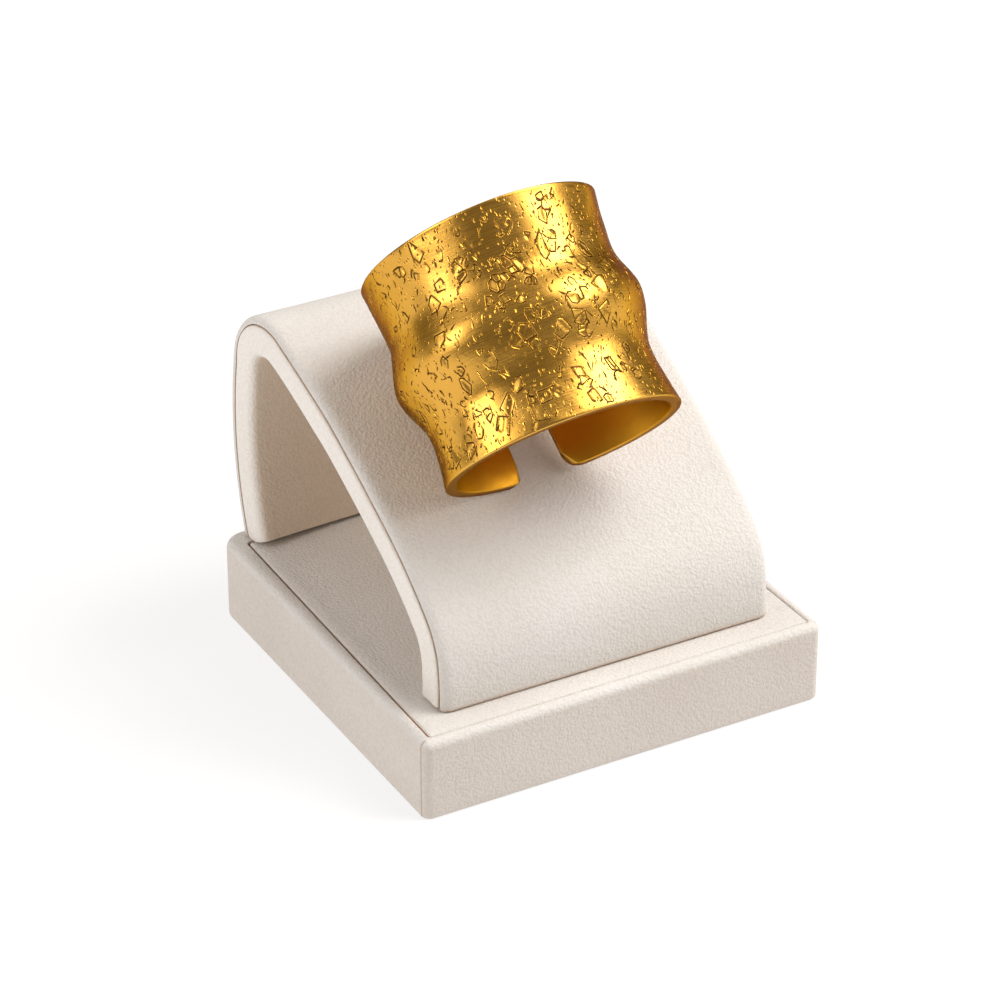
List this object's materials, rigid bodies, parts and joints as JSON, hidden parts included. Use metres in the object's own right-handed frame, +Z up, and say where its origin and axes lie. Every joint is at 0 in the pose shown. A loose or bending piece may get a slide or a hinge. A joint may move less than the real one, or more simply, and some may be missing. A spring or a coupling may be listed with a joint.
{
  "type": "brass cuff ring on a display stand",
  "caption": "Wide open brass cuff ring with a wavy, dented and engraved band, lying on the slope of a padded leatherette arch on a square wrapped base.",
  "frame": {"origin": "centre of the base's underside, on the table", "axes": "+X along the arch, -Y the way the front slope faces, +Z up"},
  "size_m": [0.0404, 0.0414, 0.0508],
  "materials": {
    "brass": "satin outside with engraved marks, finely brushed inside",
    "leatherette": "fine matt grain, warm off-white",
    "lining": "fine matt grain, beige"
  },
  "bodies": {
    "root": {"ring_band": "brass", "arch_cover": "leatherette", "arch_lining": "lining", "ring_rest": "lining", "base_box": "leatherette", "base_panel": "leatherette"}
  },
  "joints": []
}
